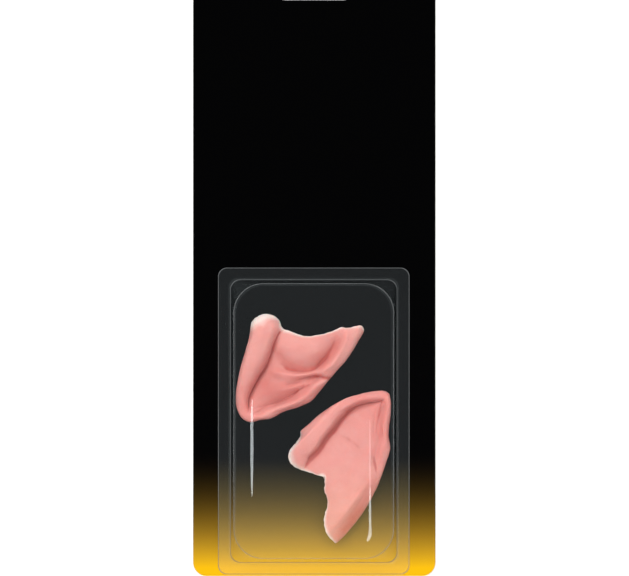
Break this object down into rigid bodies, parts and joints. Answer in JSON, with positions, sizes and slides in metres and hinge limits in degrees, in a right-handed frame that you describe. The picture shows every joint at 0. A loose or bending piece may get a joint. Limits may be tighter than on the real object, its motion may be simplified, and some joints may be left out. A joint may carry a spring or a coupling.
{
  "type": "pair of vampire ear tips on a blister card",
  "caption": "Pointed latex ear tips, hollow and open at the base to slip over the wearer's ears, sealed under a clear blister on a hanging card.",
  "frame": {"origin": "middle of the backing card's back face", "axes": "+X to the card's right, +Y up the card towards its hanging slot, +Z out of the card's front; the card lies on its back"},
  "size_m": [0.1142, 0.2922, 0.0206],
  "materials": {
    "card": "coated board",
    "film": "clear thermoformed film",
    "latex": "matte skin-coloured latex"
  },
  "bodies": {
    "root": {"backing_card": "card", "blister": "film", "ear_tip_right": "latex", "ear_tip_left": "latex"}
  },
  "joints": []
}
